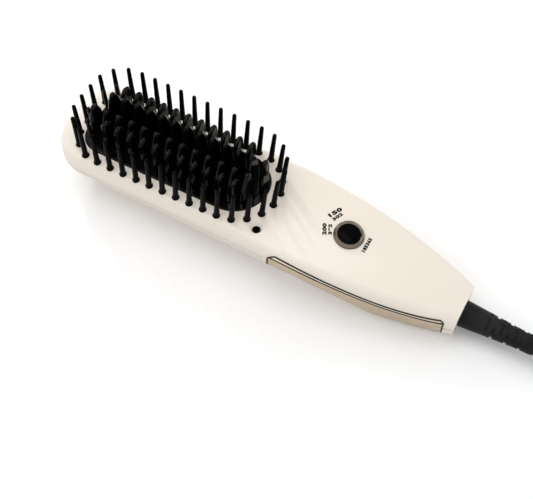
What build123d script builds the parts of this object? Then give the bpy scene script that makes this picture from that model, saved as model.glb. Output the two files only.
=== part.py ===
# Hair straightening brush for a mains cord, built as separate pieces in millimetres.
# X runs from the head to the cord, Z is up, and Z = 0 is the surface it lies on.
# The origin is the middle of the brush and its boot, on that surface.
import os
from math import acos, atan2, cos, pi, radians, sin, sqrt, tan

from build123d import *

os.makedirs("parts", exist_ok=True)

# Casing, with places counted from the tip of the head
body_length = 199.5
boot_reach = 44.5
tail_overrun = 12.0
head_half_width = 24.3
nose_front_radius = 60.0
nose_corner_radius = 19.0
taper_start = 106.0
taper_radius = 340.0
shell_wall = 1.8
tail_wall = 2.6
shoulder_radius = 5.0
shoulder_draft = 1.0
shoulder_draft_height = 32.5
belly_radius = 5.0
belly_draft = 4.5
widest_height_head = 18.5
widest_height_tail = 10.0
seam_height_head = 17.2
seam_height_tail = 8.4
seam_bend = 80.0
seam_run_on = 5.0
seam_groove_depth = 0.45
seam_groove_height = 1.8

# Top of the casing: place, height there and how far it has fallen to the side
deck_height = 29.5
deck_side = 40.0
deck_side_drop = 4.6
deck_places = (-14.0, 30.0, 70.0)
button_roof_height = 27.4
roof_stations = (
    (104.0, 29.4, 5.0),
    (143.4, button_roof_height, 9.5),
    (176.0, 22.8, 13.5),
    (213.5, 12.4, 17.0),
)

# Pins, on a loop that is blunt at the tip and round at the grip
pin_count = 36
pin_loop_start = 24.7
pin_loop_half = 6.5
pin_loop_start_radius = 14.0
pin_loop_end = 89.0
pin_loop_end_radius = 19.3
pin_tip_height = 47.7
pin_tip_radius = 0.95
pin_root_radius = 1.3
pin_root_height = 29.4
pin_hole_clearance = 0.15
pin_ring_top = 22.4
pin_ring_thickness = 2.0
pin_ring_outside = 1.45
pin_ring_inside = 1.3

# Heating plate and its fins
plate_start = 23.2
plate_half = 6.1
plate_start_radius = 10.0
plate_end = 87.4
plate_end_radius = 15.7
plate_gap = 0.3
plate_bottom = 24.5
plate_rim_height = 29.9
plate_deck_height = 30.7
plate_deck_inset = 3.4
plate_flange = 0.9
plate_flange_thickness = 1.5
gasket_gap = 0.3
fin_pitch = 6.55
fin_middle = 58.8
inner_row_place = 4.9
inner_row_fins = 13
inner_fin_width = 9.2
inner_fin_top = 46.0
inner_fin_lean = 0.4
inner_fin_shoulder = 9.0
inner_fin_crown = 1.3
inner_fin_crown_drop = 0.7
outer_row_outside = 13.2
outer_row_fins = 11
outer_fin_top = 45.4
outer_fin_outer_radius = 2.4
outer_fin_inner_radius = 3.8
fin_foot = 29.6
fin_thickness = 2.2
fin_bevel = 0.7
fin_edge_margin = 0.8
post_radius = 0.85
post_top = 43.5
post_places = ((15.4, 6.0), (18.4, 11.6))

# Heater pack under the plate
heater_length = 60.0
heater_width = 14.0
heater_thickness = 2.2
heater_corner = 1.0
film_length = 61.0
film_thickness = 0.4
clamp_length = 63.0
clamp_width = 18.0
clamp_thickness = 1.2
clamp_leg_width = 8.0
clamp_foot = 7.0
clamp_finger = 0.8
clamp_finger_drop = 2.4
cutoff_side = 4.5
cutoff_radius = 2.0
cutoff_length = 12.0
sensor_radius = 1.2
sensor_length = 5.0

# Carrier that holds the plate and the pin ring
carrier_wall = 2.1
carrier_base = 2.0
carrier_ledge = 0.7
tab_radius = 2.6
tab_thickness = 2.0
tab_spread = 30.0
tab_side = 11.9
tab_root = 3.6
ear_places = (6.3, 113.5)
ear_radius = 3.0

# Screws
screw_radius = 1.25
screw_gap = 0.05
screw_hole_gap = 0.2
screw_tip_room = 0.3
plate_screw_tip_room = 0.2
screw_point = 1.2
screw_point_radius = 0.4
screw_head_radius = 2.2
screw_head_height = 1.4
screw_recess = 0.8
screw_recess_length = 2.4
screw_recess_width = 0.6
long_screw = 12.0
medium_screw = 8.0
short_screw = 6.0
boss_radius = 2.4
post_radius_outside = 4.2
counterbore_radius = 2.6
screw_seat = 6.0
case_screws = ((113.5, 12.0, 14.0), (113.5, -12.0, 14.0), (177.5, 0.0, 10.0))

# Lip inside the back shell that locates the top shell
lip_wall = 0.8
lip_height = 1.4

# Push button, its bezel and the board below
button_place = 143.4
button_tilt = 5.6
button_radius = 4.9
button_gap = 0.12
button_travel = 0.9
button_stop_gap = 0.3
button_proud = 1.9
button_dome = 0.45
bezel_radius = 6.7
bezel_height = 2.2
bezel_sunk = 0.6
bezel_skirt = 1.0
bezel_depth = 2.4
bezel_shoulder = 0.9
bezel_crown_radius = 6.0
bezel_lead = 0.4
bezel_hole_gap = 0.1
button_flange = 0.7
button_flange_thickness = 0.9
button_flange_gap = 0.25
stem_radius = 2.0
stem_length = 2.0
plunger_radius = 1.6
plunger_gap = 0.1
plunger_engagement = 1.0
switch_size = 6.2
switch_height = 3.6
board_length = 54.0
board_width = 24.0
board_thickness = 1.6
board_corner = 2.0
board_shift = 2.0
board_screw_spread = 23.0
switch_well = 2.1
switch_hole_reach = 4.0
board_parts = ((-6.0, 5.5, 12.0, 7.0, 6.0), (-7.0, -6.0, 9.0, 5.0, 4.0), (8.0, -5.5, 6.0, 6.0, 5.0))

# Flared hole in the top, beside the pins
vent_place = 107.3
vent_side = -16.6
vent_radius = 1.9
vent_bottom = 27.2
vent_flare_radius = 3.4
vent_flare_depth = 2.0

# Side trims, let into both shells
trim_start = 118.0
trim_slant = 4.5
trim_end = 191.5
trim_thickness = 1.0
trim_gap = 0.15
trim_top_start = 23.6
trim_top_middle = 18.9
trim_top_end = 14.4
trim_height_start = 11.0
trim_height_end = 9.0
trim_corner = 1.6
peg_radius = 0.9
peg_gap = 0.1
peg_reach = 3.0
peg_places = ((128.0, 19.3), (155.0, 16.6), (182.0, 13.6))

# Boot, the cord's own end and its grip
cord_diameter = 6.0
cord_axis_height = 8.2
boot_radius = 6.1
boot_tip_radius = 4.1
boot_bore_gap = 0.1
boot_collar = 9.5
boot_collar_radius = 5.4
boot_taper_length = 24.5
boot_waist_radius = 4.35
boot_slot_start = 1.5
boot_neck_radius = 4.8
boot_neck_gap = 0.1
boot_flange_radius = 5.9
boot_flange_thickness = 2.0
boot_slot_pitch = 3.1
boot_slot_width = 1.3
boot_slot_count = 10
boot_slot_depth_start = 1.0
boot_slot_depth_end = 0.45
boot_bridge = 5.0
sheath_start = 186.0
grip_bar_place = 190.3
grip_bar_length = 21.0
grip_bar_width = 5.0
grip_bar_thickness = 2.0
grip_screw_place = 8.0
wire_radius = 0.8
wire_spacing = 11.0
supply_wire_place = 20.0
supply_wire_drop = 4.5
supply_wire_side = 1.6
supply_wire_bends = ((184.0, 1.6, 8.2), (179.5, 5.0, 12.2))
heater_wire_place = -20.0
heater_wire_drop = 5.0
heater_wire_bends = ((108.0, 5.5, 14.0), (99.0, 5.6, 15.0))
heater_wire_lead = 5.0

# How far a cut runs on past the face that it opens
overrun = 1.0

overall_length = body_length + boot_reach
head_end = -overall_length / 2
tail_end = head_end + body_length
boot_end = tail_end + boot_reach
cord_radius = cord_diameter / 2
ring_bottom = pin_ring_top - pin_ring_thickness
carrier_bottom = ring_bottom - carrier_base
pilot_radius = screw_radius + screw_gap
screw_hole = screw_radius + screw_hole_gap


def body_outline(inset):
    """Plan of the casing, drawn in by one distance all round and run on past the tail."""
    half = head_half_width - inset
    front = nose_front_radius - inset
    corner = nose_corner_radius - inset
    run = taper_radius - inset
    tip = head_end + inset
    front_x = tip + front
    corner_x = front_x - sqrt((front - corner) ** 2 - (half - corner) ** 2)
    blend = atan2(half - corner, corner_x - front_x)
    taper_x = head_end + taper_start
    reach = body_length + tail_overrun - taper_start

    def on_front(angle):
        return (front_x + front * cos(angle), front * sin(angle))

    def on_corner(angle):
        return (corner_x + corner * cos(angle), half - corner + corner * sin(angle))

    def on_taper(distance):
        return (taper_x + distance, half - run + sqrt(run**2 - distance**2))

    with BuildSketch() as plan:
        with BuildLine():
            ThreePointArc(on_front(blend), on_corner((blend + pi / 2) / 2), (corner_x, half))
            Line((corner_x, half), (taper_x, half))
            ThreePointArc(on_taper(0), on_taper(reach / 2), on_taper(reach))
            Line(on_taper(reach), (taper_x + reach, 0))
            mirror(about=Plane.XZ)
            ThreePointArc(on_front(blend), (tip, 0), on_front(-blend))
        make_face()
    return plan.sketch


def roof_block(inset):
    """Everything below the crowned top, which falls towards the cord."""
    stations = [(place, deck_height, deck_side_drop) for place in deck_places]
    side = deck_side
    with BuildPart() as block:
        for place, top, drop in (*stations, *roof_stations):
            with BuildSketch(Plane.YZ.offset(head_end + place)):
                with BuildLine():
                    edge = top - drop - inset
                    ThreePointArc((-side, edge), (0, top - inset), (side, edge))
                    Polyline((side, edge), (side, -side), (-side, -side), (-side, edge))
                make_face()
        loft()
    return block.part


def casing(inset, end_inset, round_belly=True):
    """The casing's outer form, drawn in by inset, and by end_inset at the tail."""
    tilt = atan2(widest_height_head - widest_height_tail, body_length)
    middle = (widest_height_head + widest_height_tail) / 2
    widest = Plane(
        origin=(head_end + body_length / 2, 0, middle),
        x_dir=(cos(tilt), 0, -sin(tilt)),
        z_dir=(sin(tilt), 0, cos(tilt)),
    )
    shift = Location((-head_end - body_length / 2, 0))
    with BuildPart() as form:
        with BuildSketch(Plane.XY.offset(inset)):
            add(body_outline(inset + belly_draft))
        with BuildSketch(widest):
            add(body_outline(inset).moved(shift))
        with BuildSketch(Plane.XY.offset(shoulder_draft_height)):
            add(body_outline(inset + shoulder_draft))
        loft()
        add(roof_block(inset), mode=Mode.INTERSECT)
        top = form.faces().sort_by(Axis.Z)[-1]
        fillet(top.edges().sort_by(Axis.X)[:-1], shoulder_radius - inset)
        if round_belly:
            belly = form.faces().sort_by(Axis.Z)[0]
            fillet(belly.edges().sort_by(Axis.X)[:-1], belly_radius - inset)
        split(bisect_by=Plane.YZ.offset(tail_end - end_inset), keep=Keep.BOTTOM)
    return form.part


def loop_outline(start, half, start_radius, end, end_radius, grow=0.0):
    """Two rounded corners at the tip and one round end towards the grip, grown by grow."""
    run = end - start
    lean = atan2(-half, run) + acos((start_radius - end_radius) / sqrt(run**2 + half**2))
    near = start_radius + grow
    far = end_radius + grow
    x0 = head_end + start
    x1 = head_end + end
    with BuildLine() as outline:
        Line((x0 - near, 0), (x0 - near, half))
        turn = (pi + lean) / 2
        top = (x0 + near * cos(lean), half + near * sin(lean))
        ThreePointArc((x0 - near, half), (x0 + near * cos(turn), half + near * sin(turn)), top)
        Line(top, (x1 + far * cos(lean), far * sin(lean)))
        ThreePointArc(
            (x1 + far * cos(lean), far * sin(lean)),
            (x1 + far, 0),
            (x1 + far * cos(lean), -far * sin(lean)),
        )
        Line((x1 + far * cos(lean), -far * sin(lean)), (top[0], -top[1]))
        ThreePointArc(
            (top[0], -top[1]),
            (x0 + near * cos(turn), -half - near * sin(turn)),
            (x0 - near, -half),
        )
        Line((x0 - near, -half), (x0 - near, 0))
    return outline.wire()


def pin_loop(grow=0.0):
    return loop_outline(
        pin_loop_start,
        pin_loop_half,
        pin_loop_start_radius,
        pin_loop_end,
        pin_loop_end_radius,
        grow,
    )


def plate_loop(grow=0.0):
    return loop_outline(
        plate_start, plate_half, plate_start_radius, plate_end, plate_end_radius, grow
    )


def prism(outline, bottom, top):
    """A closed outline raised from one height to another."""
    with BuildPart() as block:
        with BuildSketch(Plane.XY.offset(bottom)):
            add(Face(outline))
        extrude(amount=top - bottom)
    return block.part


pin_points = [pin_loop().position_at((i + 0.5) / pin_count) for i in range(pin_count)]
outer_form = casing(0, 0)
inner_form = casing(shell_wall, tail_wall)
groove_form = casing(seam_groove_depth, seam_groove_depth)
trim_form = casing(trim_thickness, trim_thickness)
lip_form = casing(shell_wall + lip_wall, tail_wall, round_belly=False)


def seam_block(rise):
    """Everything below the joint between the shells, raised by rise."""
    with BuildPart() as block:
        with BuildSketch(Plane.XZ):
            with BuildLine():
                start = (head_end - tail_overrun, seam_height_head + rise)
                bend = (head_end + seam_bend, seam_height_head + rise)
                finish = (tail_end + seam_run_on, seam_height_tail + rise)
                floor = -overrun
                Line(start, bend)
                TangentArc(bend, finish, tangent=(1, 0))
                Polyline(finish, (finish[0], floor), (start[0], floor), start)
            make_face()
        extrude(amount=2 * head_half_width, both=True)
    return block.part


below_seam = seam_block(0)
button_plane = Plane(
    origin=(head_end + button_place, 0, button_roof_height),
    x_dir=(cos(radians(button_tilt)), 0, -sin(radians(button_tilt))),
    z_dir=(sin(radians(button_tilt)), 0, cos(radians(button_tilt))),
)
button_axis = Axis(button_plane.origin, button_plane.z_dir)
button_profile = Plane(button_plane.origin, button_plane.x_dir, (0, -1, 0))
bezel_bore = button_radius + button_gap
skirt_radius = bezel_bore + bezel_skirt
stem_bottom = -bezel_depth - button_flange_gap - button_flange_thickness - stem_length
switch_top = stem_bottom - button_travel - button_stop_gap
board_top = switch_top - switch_height
board_bottom = board_top - board_thickness


def trim_outline(grow):
    """Side view of a trim, slanted at its head end and rounded at its corners."""
    x0 = head_end + trim_start
    x1 = head_end + trim_end
    middle_height = (trim_height_start + trim_height_end) / 2
    with BuildSketch(Plane.XZ) as side:
        with BuildLine():
            a = (x0, trim_top_start)
            b = ((x0 + x1) / 2, trim_top_middle)
            c = (x1, trim_top_end)
            d = (x1, trim_top_end - trim_height_end)
            e = ((x0 + x1) / 2, trim_top_middle - middle_height)
            f = (x0 - trim_slant, trim_top_start - trim_height_start)
            ThreePointArc(a, b, c)
            Line(c, d)
            ThreePointArc(d, e, f)
            Line(f, a)
        make_face()
        fillet(side.vertices(), trim_corner)
        if grow:
            offset(amount=grow, kind=Kind.INTERSECTION)
    return side.sketch


def side_block(hand, grow):
    """A trim's outline carried out through one side of the casing."""
    with BuildPart() as block:
        with BuildSketch(Plane.XZ):
            add(trim_outline(grow))
        extrude(amount=-hand * 2 * head_half_width)
    return block.part


def half_width_at(place):
    """Half the casing's greatest width at a place on the taper."""
    return head_half_width - taper_radius + sqrt(taper_radius**2 - (place - taper_start) ** 2)


def pegs(hand, radius):
    """Three pins that hold a trim to the top shell."""
    with BuildPart() as group:
        for place, height in peg_places:
            with BuildSketch(Plane.XZ.offset(-hand * (half_width_at(place) - peg_reach))):
                with Locations((head_end + place, height)):
                    Circle(radius)
            extrude(amount=-hand * 2 * peg_reach)
        add(outer_form, mode=Mode.INTERSECT)
    return group.part


def post(place, side, bottom, top, radius):
    """An upright round post at a place counted from the tip of the head."""
    with BuildPart() as one:
        with BuildSketch(Plane.XY.offset(bottom)):
            with Locations((head_end + place, side)):
                Circle(radius)
        extrude(amount=top - bottom)
    return one.part


def tilted_post(place, side, bottom, top, radius):
    """A post square to the top under the button, in the button's own coordinates."""
    with BuildPart() as one:
        with BuildSketch(button_plane.offset(bottom)):
            with Locations((place, side)):
                Circle(radius)
        extrude(amount=top - bottom)
    return one.part


def screw(length):
    """A pan-head screw with its seat at Z = 0 and its point upwards."""
    with BuildPart() as one:
        with BuildSketch(Plane.XZ):
            with BuildLine():
                Polyline(
                    (0, -screw_head_height),
                    (screw_head_radius, -screw_head_height),
                    (screw_head_radius, 0),
                    (screw_radius, 0),
                    (screw_radius, length - screw_point),
                    (screw_point_radius, length),
                    (0, length),
                    close=True,
                )
            make_face()
        revolve(axis=Axis.Z)
        with BuildSketch(Plane.XY.offset(-screw_head_height)):
            Rectangle(screw_recess_length, screw_recess_width)
            Rectangle(screw_recess_width, screw_recess_length)
        extrude(amount=screw_recess, mode=Mode.SUBTRACT)
    return one.part


def screw_set(length, places):
    """The same screw at several places, given as place, side and height of the seat."""
    with BuildPart() as group:
        with Locations(*[(head_end + place, side, seat) for place, side, seat in places]):
            add(screw(length))
    return group.part


def bends(points):
    """Radius at each corner of a route, as large as its two runs leave room for."""
    radii = []
    for before, corner, after in zip(points, points[1:], points[2:]):
        first = Vector(*corner) - Vector(*before)
        second = Vector(*after) - Vector(*corner)
        turn = radians(first.get_angle(second))
        radii.append(0.45 * min(first.length, second.length) / tan(turn / 2))
    return radii


def tube(points, radius):
    """A round tube along straight runs joined by arcs."""
    with BuildPart() as run:
        with BuildLine() as route:
            FilletPolyline(*points, radius=bends(points))
        wire = route.wire()
        with BuildSketch(Plane(origin=wire @ 0, z_dir=wire % 0)):
            Circle(radius)
        sweep(path=wire)
    ratio = run.part.volume / (pi * radius**2 * wire.length)
    print("tube", [round(bend, 1) for bend in bends(points)], "volume ratio", round(ratio, 4))
    return run.part


# Top shell, with the openings for the pins, the plate and the button
ear_points = [(place, 0.0) for place in ear_places]
boss_bottom = carrier_bottom + carrier_base
board_screw_places = (board_shift - board_screw_spread, board_shift + board_screw_spread)
with BuildPart() as top_bosses:
    for place, side in ear_points:
        add(post(place, side, boss_bottom, deck_height, boss_radius))
    for place, side, joint in case_screws:
        add(post(place, side, joint, deck_height, boss_radius))
    for place in board_screw_places:
        add(tilted_post(place, 0, board_top, switch_hole_reach, boss_radius))
    add(trim_form, mode=Mode.INTERSECT)

# Shallow band above the joint, and the places for the two trims
with BuildPart() as band:
    add(seam_block(seam_groove_height))
    add(below_seam, mode=Mode.SUBTRACT)
    add(groove_form, mode=Mode.SUBTRACT)

with BuildPart() as trim_recesses:
    add([side_block(1, trim_gap), side_block(-1, trim_gap)])
    add(trim_form, mode=Mode.SUBTRACT)

with BuildPart() as top_shell:
    add(outer_form)
    add(inner_form, mode=Mode.SUBTRACT)
    add(below_seam, mode=Mode.SUBTRACT)
    add(band.part, mode=Mode.SUBTRACT)
    add(top_bosses.part)
    add(prism(plate_loop(plate_gap), boss_bottom, pin_tip_height), mode=Mode.SUBTRACT)
    with BuildSketch(Plane.XY.offset(pin_ring_top)):
        with Locations(*pin_points):
            Circle(pin_root_radius + pin_hole_clearance)
    extrude(amount=deck_height, mode=Mode.SUBTRACT)
    add(
        tilted_post(0, 0, -bezel_sunk, switch_hole_reach, bezel_radius + bezel_hole_gap),
        mode=Mode.SUBTRACT,
    )
    add(
        tilted_post(0, 0, board_top, switch_hole_reach, skirt_radius + bezel_hole_gap),
        mode=Mode.SUBTRACT,
    )
    with Locations((head_end + vent_place, vent_side, vent_bottom + vent_flare_depth / 2)):
        Cone(vent_radius, vent_flare_radius, vent_flare_depth, mode=Mode.SUBTRACT)
    add(post(vent_place, vent_side, boss_bottom, deck_height, vent_radius), mode=Mode.SUBTRACT)
    add(trim_recesses.part, mode=Mode.SUBTRACT)
    for hand in (1, -1):
        add(pegs(hand, peg_radius + peg_gap), mode=Mode.SUBTRACT)
    with BuildSketch(Plane.YZ.offset(tail_end - tail_wall - overrun)):
        with Locations((0, cord_axis_height)):
            Circle(boot_neck_radius + boot_neck_gap)
    extrude(amount=tail_wall + 2 * overrun, mode=Mode.SUBTRACT)
    for place, side in ear_points:
        end = carrier_bottom + medium_screw + screw_tip_room
        add(post(place, side, boss_bottom - overrun, end, pilot_radius), mode=Mode.SUBTRACT)
    for place, side, joint in case_screws:
        end = joint - screw_seat + long_screw + screw_tip_room
        add(post(place, side, joint - overrun, end, pilot_radius), mode=Mode.SUBTRACT)
    for place in board_screw_places:
        end = board_bottom + short_screw + screw_tip_room
        add(tilted_post(place, 0, board_top - overrun, end, pilot_radius), mode=Mode.SUBTRACT)

# Back shell, with its lip, posts and the rib and bosses that hold the cord
rib_bottom = shell_wall / 2
grip_boss_top = cord_axis_height + cord_radius
with BuildPart() as back_fittings:
    for place, side, joint in case_screws:
        add(post(place, side, rib_bottom, joint, post_radius_outside))
    for side in (grip_screw_place, -grip_screw_place):
        add(post(grip_bar_place, side, rib_bottom, grip_boss_top, boss_radius))
    with BuildSketch(Plane.XY.offset(rib_bottom)):
        with Locations((head_end + grip_bar_place, 0)):
            Rectangle(grip_bar_width, 2 * grip_screw_place)
    extrude(amount=cord_axis_height - rib_bottom)
    with BuildSketch(Plane.YZ.offset(head_end + grip_bar_place - grip_bar_width)):
        with Locations((0, cord_axis_height)):
            Circle(cord_radius)
    extrude(amount=2 * grip_bar_width, mode=Mode.SUBTRACT)
    add(trim_form, mode=Mode.INTERSECT)

with BuildPart() as lip:
    add(inner_form)
    add(lip_form, mode=Mode.SUBTRACT)
    add(seam_block(lip_height), mode=Mode.INTERSECT)
    add(seam_block(-lip_height), mode=Mode.SUBTRACT)

with BuildPart() as back_shell:
    add(outer_form)
    add(inner_form, mode=Mode.SUBTRACT)
    add(below_seam, mode=Mode.INTERSECT)
    add(lip.part)
    add(back_fittings.part)
    add(trim_recesses.part, mode=Mode.SUBTRACT)
    with BuildSketch(Plane.YZ.offset(tail_end - tail_wall - overrun)):
        with Locations((0, cord_axis_height)):
            Circle(boot_neck_radius + boot_neck_gap)
    extrude(amount=tail_wall + 2 * overrun, mode=Mode.SUBTRACT)
    for place, side, joint in case_screws:
        seat = joint - screw_seat
        add(post(place, side, -overrun, seat, counterbore_radius), mode=Mode.SUBTRACT)
        add(post(place, side, seat - overrun, joint + overrun, screw_hole), mode=Mode.SUBTRACT)
    for side in (grip_screw_place, -grip_screw_place):
        low = grip_boss_top + grip_bar_thickness - medium_screw
        high = grip_boss_top + overrun
        add(post(grip_bar_place, side, low, high, pilot_radius), mode=Mode.SUBTRACT)

# Side trims, each with three pegs through the top shell
with BuildPart() as trim_left:
    add(side_block(1, 0))
    add(outer_form, mode=Mode.INTERSECT)
    add(trim_form, mode=Mode.SUBTRACT)
    add(pegs(1, peg_radius))

with BuildPart() as trim_right:
    add(side_block(-1, 0))
    add(outer_form, mode=Mode.INTERSECT)
    add(trim_form, mode=Mode.SUBTRACT)
    add(pegs(-1, peg_radius))

# Pins, moulded together on a ring that lies inside the top shell
with BuildPart() as pin:
    with BuildSketch(Plane.XZ):
        with BuildLine():
            foot = ring_bottom + pin_ring_thickness / 2
            neck = (pin_tip_radius, pin_tip_height - pin_tip_radius)
            turn = pin_tip_radius * sin(pi / 4)
            Polyline((0, pin_tip_height), (0, foot), (pin_root_radius, foot))
            Polyline((pin_root_radius, foot), (pin_root_radius, pin_root_height), neck)
            ThreePointArc(neck, (turn, neck[1] + turn), (0, pin_tip_height))
        make_face()
    revolve(axis=Axis.Z)

with BuildPart() as pin_ring:
    add(prism(pin_loop(pin_ring_outside), ring_bottom, pin_ring_top))
    hole = prism(pin_loop(-pin_ring_inside), ring_bottom - overrun, pin_ring_top + overrun)
    add(hole, mode=Mode.SUBTRACT)
    with Locations(*pin_points):
        add(pin.part)

# Fins: an even arch for the inner rows, a fuller one with an upright edge for the outer rows
with BuildPart() as inner_fin:
    with BuildSketch(Plane.YZ):
        with BuildLine():
            half = inner_fin_width / 2
            shoulder = (half - inner_fin_lean, inner_fin_top - inner_fin_shoulder)
            crown = (inner_fin_crown, inner_fin_top - inner_fin_crown_drop)
            rise = shoulder[1] - fin_foot
            Polyline((0, fin_foot), (half, fin_foot), shoulder)
            TangentArc(shoulder, crown, tangent=(-inner_fin_lean, rise))
            ThreePointArc(crown, (0, inner_fin_top), (-crown[0], crown[1]))
            mirrored_shoulder = (-shoulder[0], shoulder[1])
            TangentArc(mirrored_shoulder, (-crown[0], crown[1]), tangent=(inner_fin_lean, rise))
            Polyline(mirrored_shoulder, (-half, fin_foot), (0, fin_foot))
        make_face()
    extrude(amount=fin_thickness / 2, both=True)
    sides = inner_fin.faces().sort_by(Axis.X)
    rims = [edge for side in (sides[0], sides[-1]) for edge in side.edges()]
    chamfer([edge for edge in rims if edge.center().Z > fin_foot + fin_bevel / 2], fin_bevel)

with BuildPart() as outer_fin:
    with BuildSketch(Plane.YZ):
        with BuildLine():
            heel = outer_row_outside - outer_fin_outer_radius - outer_fin_inner_radius
            crest = (outer_row_outside - outer_fin_outer_radius, outer_fin_top)
            inner_shoulder = (heel, outer_fin_top - outer_fin_inner_radius)
            outer_shoulder = (outer_row_outside, outer_fin_top - outer_fin_outer_radius)
            Polyline(inner_shoulder, (heel, fin_foot), (outer_row_outside, fin_foot), outer_shoulder)
            TangentArc(outer_shoulder, crest, tangent=(0, 1))
            TangentArc(inner_shoulder, crest, tangent=(0, 1))
        make_face()
    extrude(amount=fin_thickness / 2, both=True)
    sides = outer_fin.faces().sort_by(Axis.X)
    rims = [edge for side in (sides[0], sides[-1]) for edge in side.edges()]
    chamfer([edge for edge in rims if edge.center().Z > fin_foot + fin_bevel / 2], fin_bevel)


def row(count, shift):
    """Places of the fins along one row, shifted from the middle of the plate."""
    first = head_end + fin_middle + shift - (count - 1) / 2 * fin_pitch
    return [first + i * fin_pitch for i in range(count)]


stagger = fin_pitch / 4
with BuildPart() as fins:
    with Locations(*[(x, inner_row_place, 0) for x in row(inner_row_fins, stagger)]):
        add(inner_fin.part)
    with Locations(*[(x, -inner_row_place, 0) for x in row(inner_row_fins, -stagger)]):
        add(inner_fin.part)
    with Locations(*[(x, 0, 0) for x in row(outer_row_fins, -stagger)]):
        add(outer_fin.part)
    with Locations(*[(x, 0, 0) for x in row(outer_row_fins, stagger)]):
        add(outer_fin.part.mirror(Plane.XZ))
    add(prism(plate_loop(-fin_edge_margin), plate_bottom, pin_tip_height), mode=Mode.INTERSECT)

# Heating plate: one casting with its fins and four small posts
clamp_hole_place = clamp_length / 2 + clamp_thickness + clamp_foot / 2
tab_places = [
    (fin_middle + way * tab_spread, side * tab_side) for way in (1, -1) for side in (1, -1)
]
clamp_hole_places = [(fin_middle + way * clamp_hole_place, 0.0) for way in (1, -1)]
plate_screw_end = plate_bottom - tab_thickness + short_screw + plate_screw_tip_room
clamp_plate_screw = short_screw - tab_thickness + clamp_thickness
with BuildPart() as heating_plate:
    add(prism(plate_loop(), plate_bottom, plate_rim_height))
    add(prism(plate_loop(plate_flange), plate_bottom, plate_bottom + plate_flange_thickness))
    add(prism(plate_loop(-plate_deck_inset), plate_rim_height - overrun, plate_deck_height))
    add(fins.part)
    for place, side in post_places:
        for hand in (1, -1):
            add(post(place, hand * side, plate_rim_height - overrun, post_top, post_radius))
    for place, side in tab_places + clamp_hole_places:
        pilot = post(place, side, plate_bottom - overrun, plate_screw_end, pilot_radius)
        add(pilot, mode=Mode.SUBTRACT)

# Gasket between the plate's flange and the inside of the top
with BuildPart() as plate_gasket:
    flange_top = plate_bottom + plate_flange_thickness
    add(prism(plate_loop(plate_flange), flange_top, deck_height))
    add(inner_form, mode=Mode.INTERSECT)
    add(prism(plate_loop(gasket_gap), flange_top - overrun, deck_height), mode=Mode.SUBTRACT)

# Carrier: a wall under the plate's flange, a ledge under the pins, tabs and two ears
with BuildPart() as plate_carrier:
    add(prism(pin_loop(carrier_ledge), carrier_bottom, ring_bottom))
    for place, side in ear_points:
        add(post(place, side, carrier_bottom, ring_bottom, ear_radius))
    with BuildSketch(Plane.XY.offset(carrier_bottom)):
        with Locations((head_end + (ear_places[0] + pin_loop_start) / 2, 0)):
            Rectangle(pin_loop_start - ear_places[0], 2 * ear_radius)
        with Locations((head_end + (ear_places[1] + pin_loop_end) / 2, 0)):
            Rectangle(ear_places[1] - pin_loop_end, 2 * ear_radius)
    extrude(amount=carrier_base)
    add(prism(plate_loop(plate_flange), carrier_bottom, plate_bottom))
    hollow = plate_loop(plate_flange - carrier_wall)
    add(prism(hollow, carrier_bottom - overrun, plate_bottom + overrun), mode=Mode.SUBTRACT)
    for place, side in tab_places:
        hand = 1 if side > 0 else -1
        add(post(place, side, plate_bottom - tab_thickness, plate_bottom, tab_radius))
        with BuildSketch(Plane.XY.offset(plate_bottom - tab_thickness)):
            with Locations((head_end + place, side + hand * tab_root / 2)):
                Rectangle(2 * tab_radius, tab_root)
        extrude(amount=tab_thickness)
        low = plate_bottom - tab_thickness - overrun
        add(post(place, side, low, plate_bottom + overrun, screw_hole), mode=Mode.SUBTRACT)
    for place, side in ear_points:
        low = carrier_bottom - overrun
        add(post(place, side, low, ring_bottom + overrun, screw_hole), mode=Mode.SUBTRACT)

# Heater, its film and the clamp that presses them to the plate
heater_bottom = plate_bottom - heater_thickness
film_bottom = heater_bottom - film_thickness
clamp_bottom = film_bottom - clamp_thickness
heater_x = head_end + fin_middle
with BuildPart() as ceramic_heater:
    with BuildSketch(Plane.XY.offset(heater_bottom)):
        with Locations((heater_x, 0)):
            RectangleRounded(heater_length, heater_width, heater_corner)
    extrude(amount=heater_thickness)

with BuildPart() as insulation_film:
    with BuildSketch(Plane.XY.offset(film_bottom)):
        with Locations((heater_x, 0)):
            Rectangle(film_length, clamp_width)
    extrude(amount=film_thickness)

with BuildPart() as heater_clamp:
    with BuildSketch(Plane.XY.offset(clamp_bottom)):
        with Locations((heater_x, 0)):
            Rectangle(clamp_length, clamp_width)
            Rectangle(clamp_length + 2 * clamp_thickness, clamp_leg_width)
    extrude(amount=clamp_thickness)
    with BuildSketch(Plane.XZ):
        for way in (1, -1):
            start = heater_x + way * clamp_length / 2
            with BuildLine():
                Polyline(
                    (start, clamp_bottom),
                    (start + way * clamp_thickness, clamp_bottom),
                    (start + way * clamp_thickness, plate_bottom - clamp_thickness),
                    (start + way * (clamp_thickness + clamp_foot), plate_bottom - clamp_thickness),
                    (start + way * (clamp_thickness + clamp_foot), plate_bottom),
                    (start, plate_bottom),
                    close=True,
                )
            make_face()
    extrude(amount=clamp_leg_width / 2, both=True)
    with BuildSketch(Plane.XY.offset(clamp_bottom - clamp_finger_drop)):
        for hand, radius in ((1, cutoff_radius), (-1, sensor_radius)):
            for edge in (1, -1):
                finger_side = hand * cutoff_side + edge * (radius + clamp_finger / 2)
                with Locations((heater_x, finger_side)):
                    Rectangle(sensor_length, clamp_finger)
    extrude(amount=clamp_finger_drop)
    for place, side in clamp_hole_places:
        hole = post(place, side, film_bottom, plate_bottom + overrun, screw_hole)
        add(hole, mode=Mode.SUBTRACT)

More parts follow.
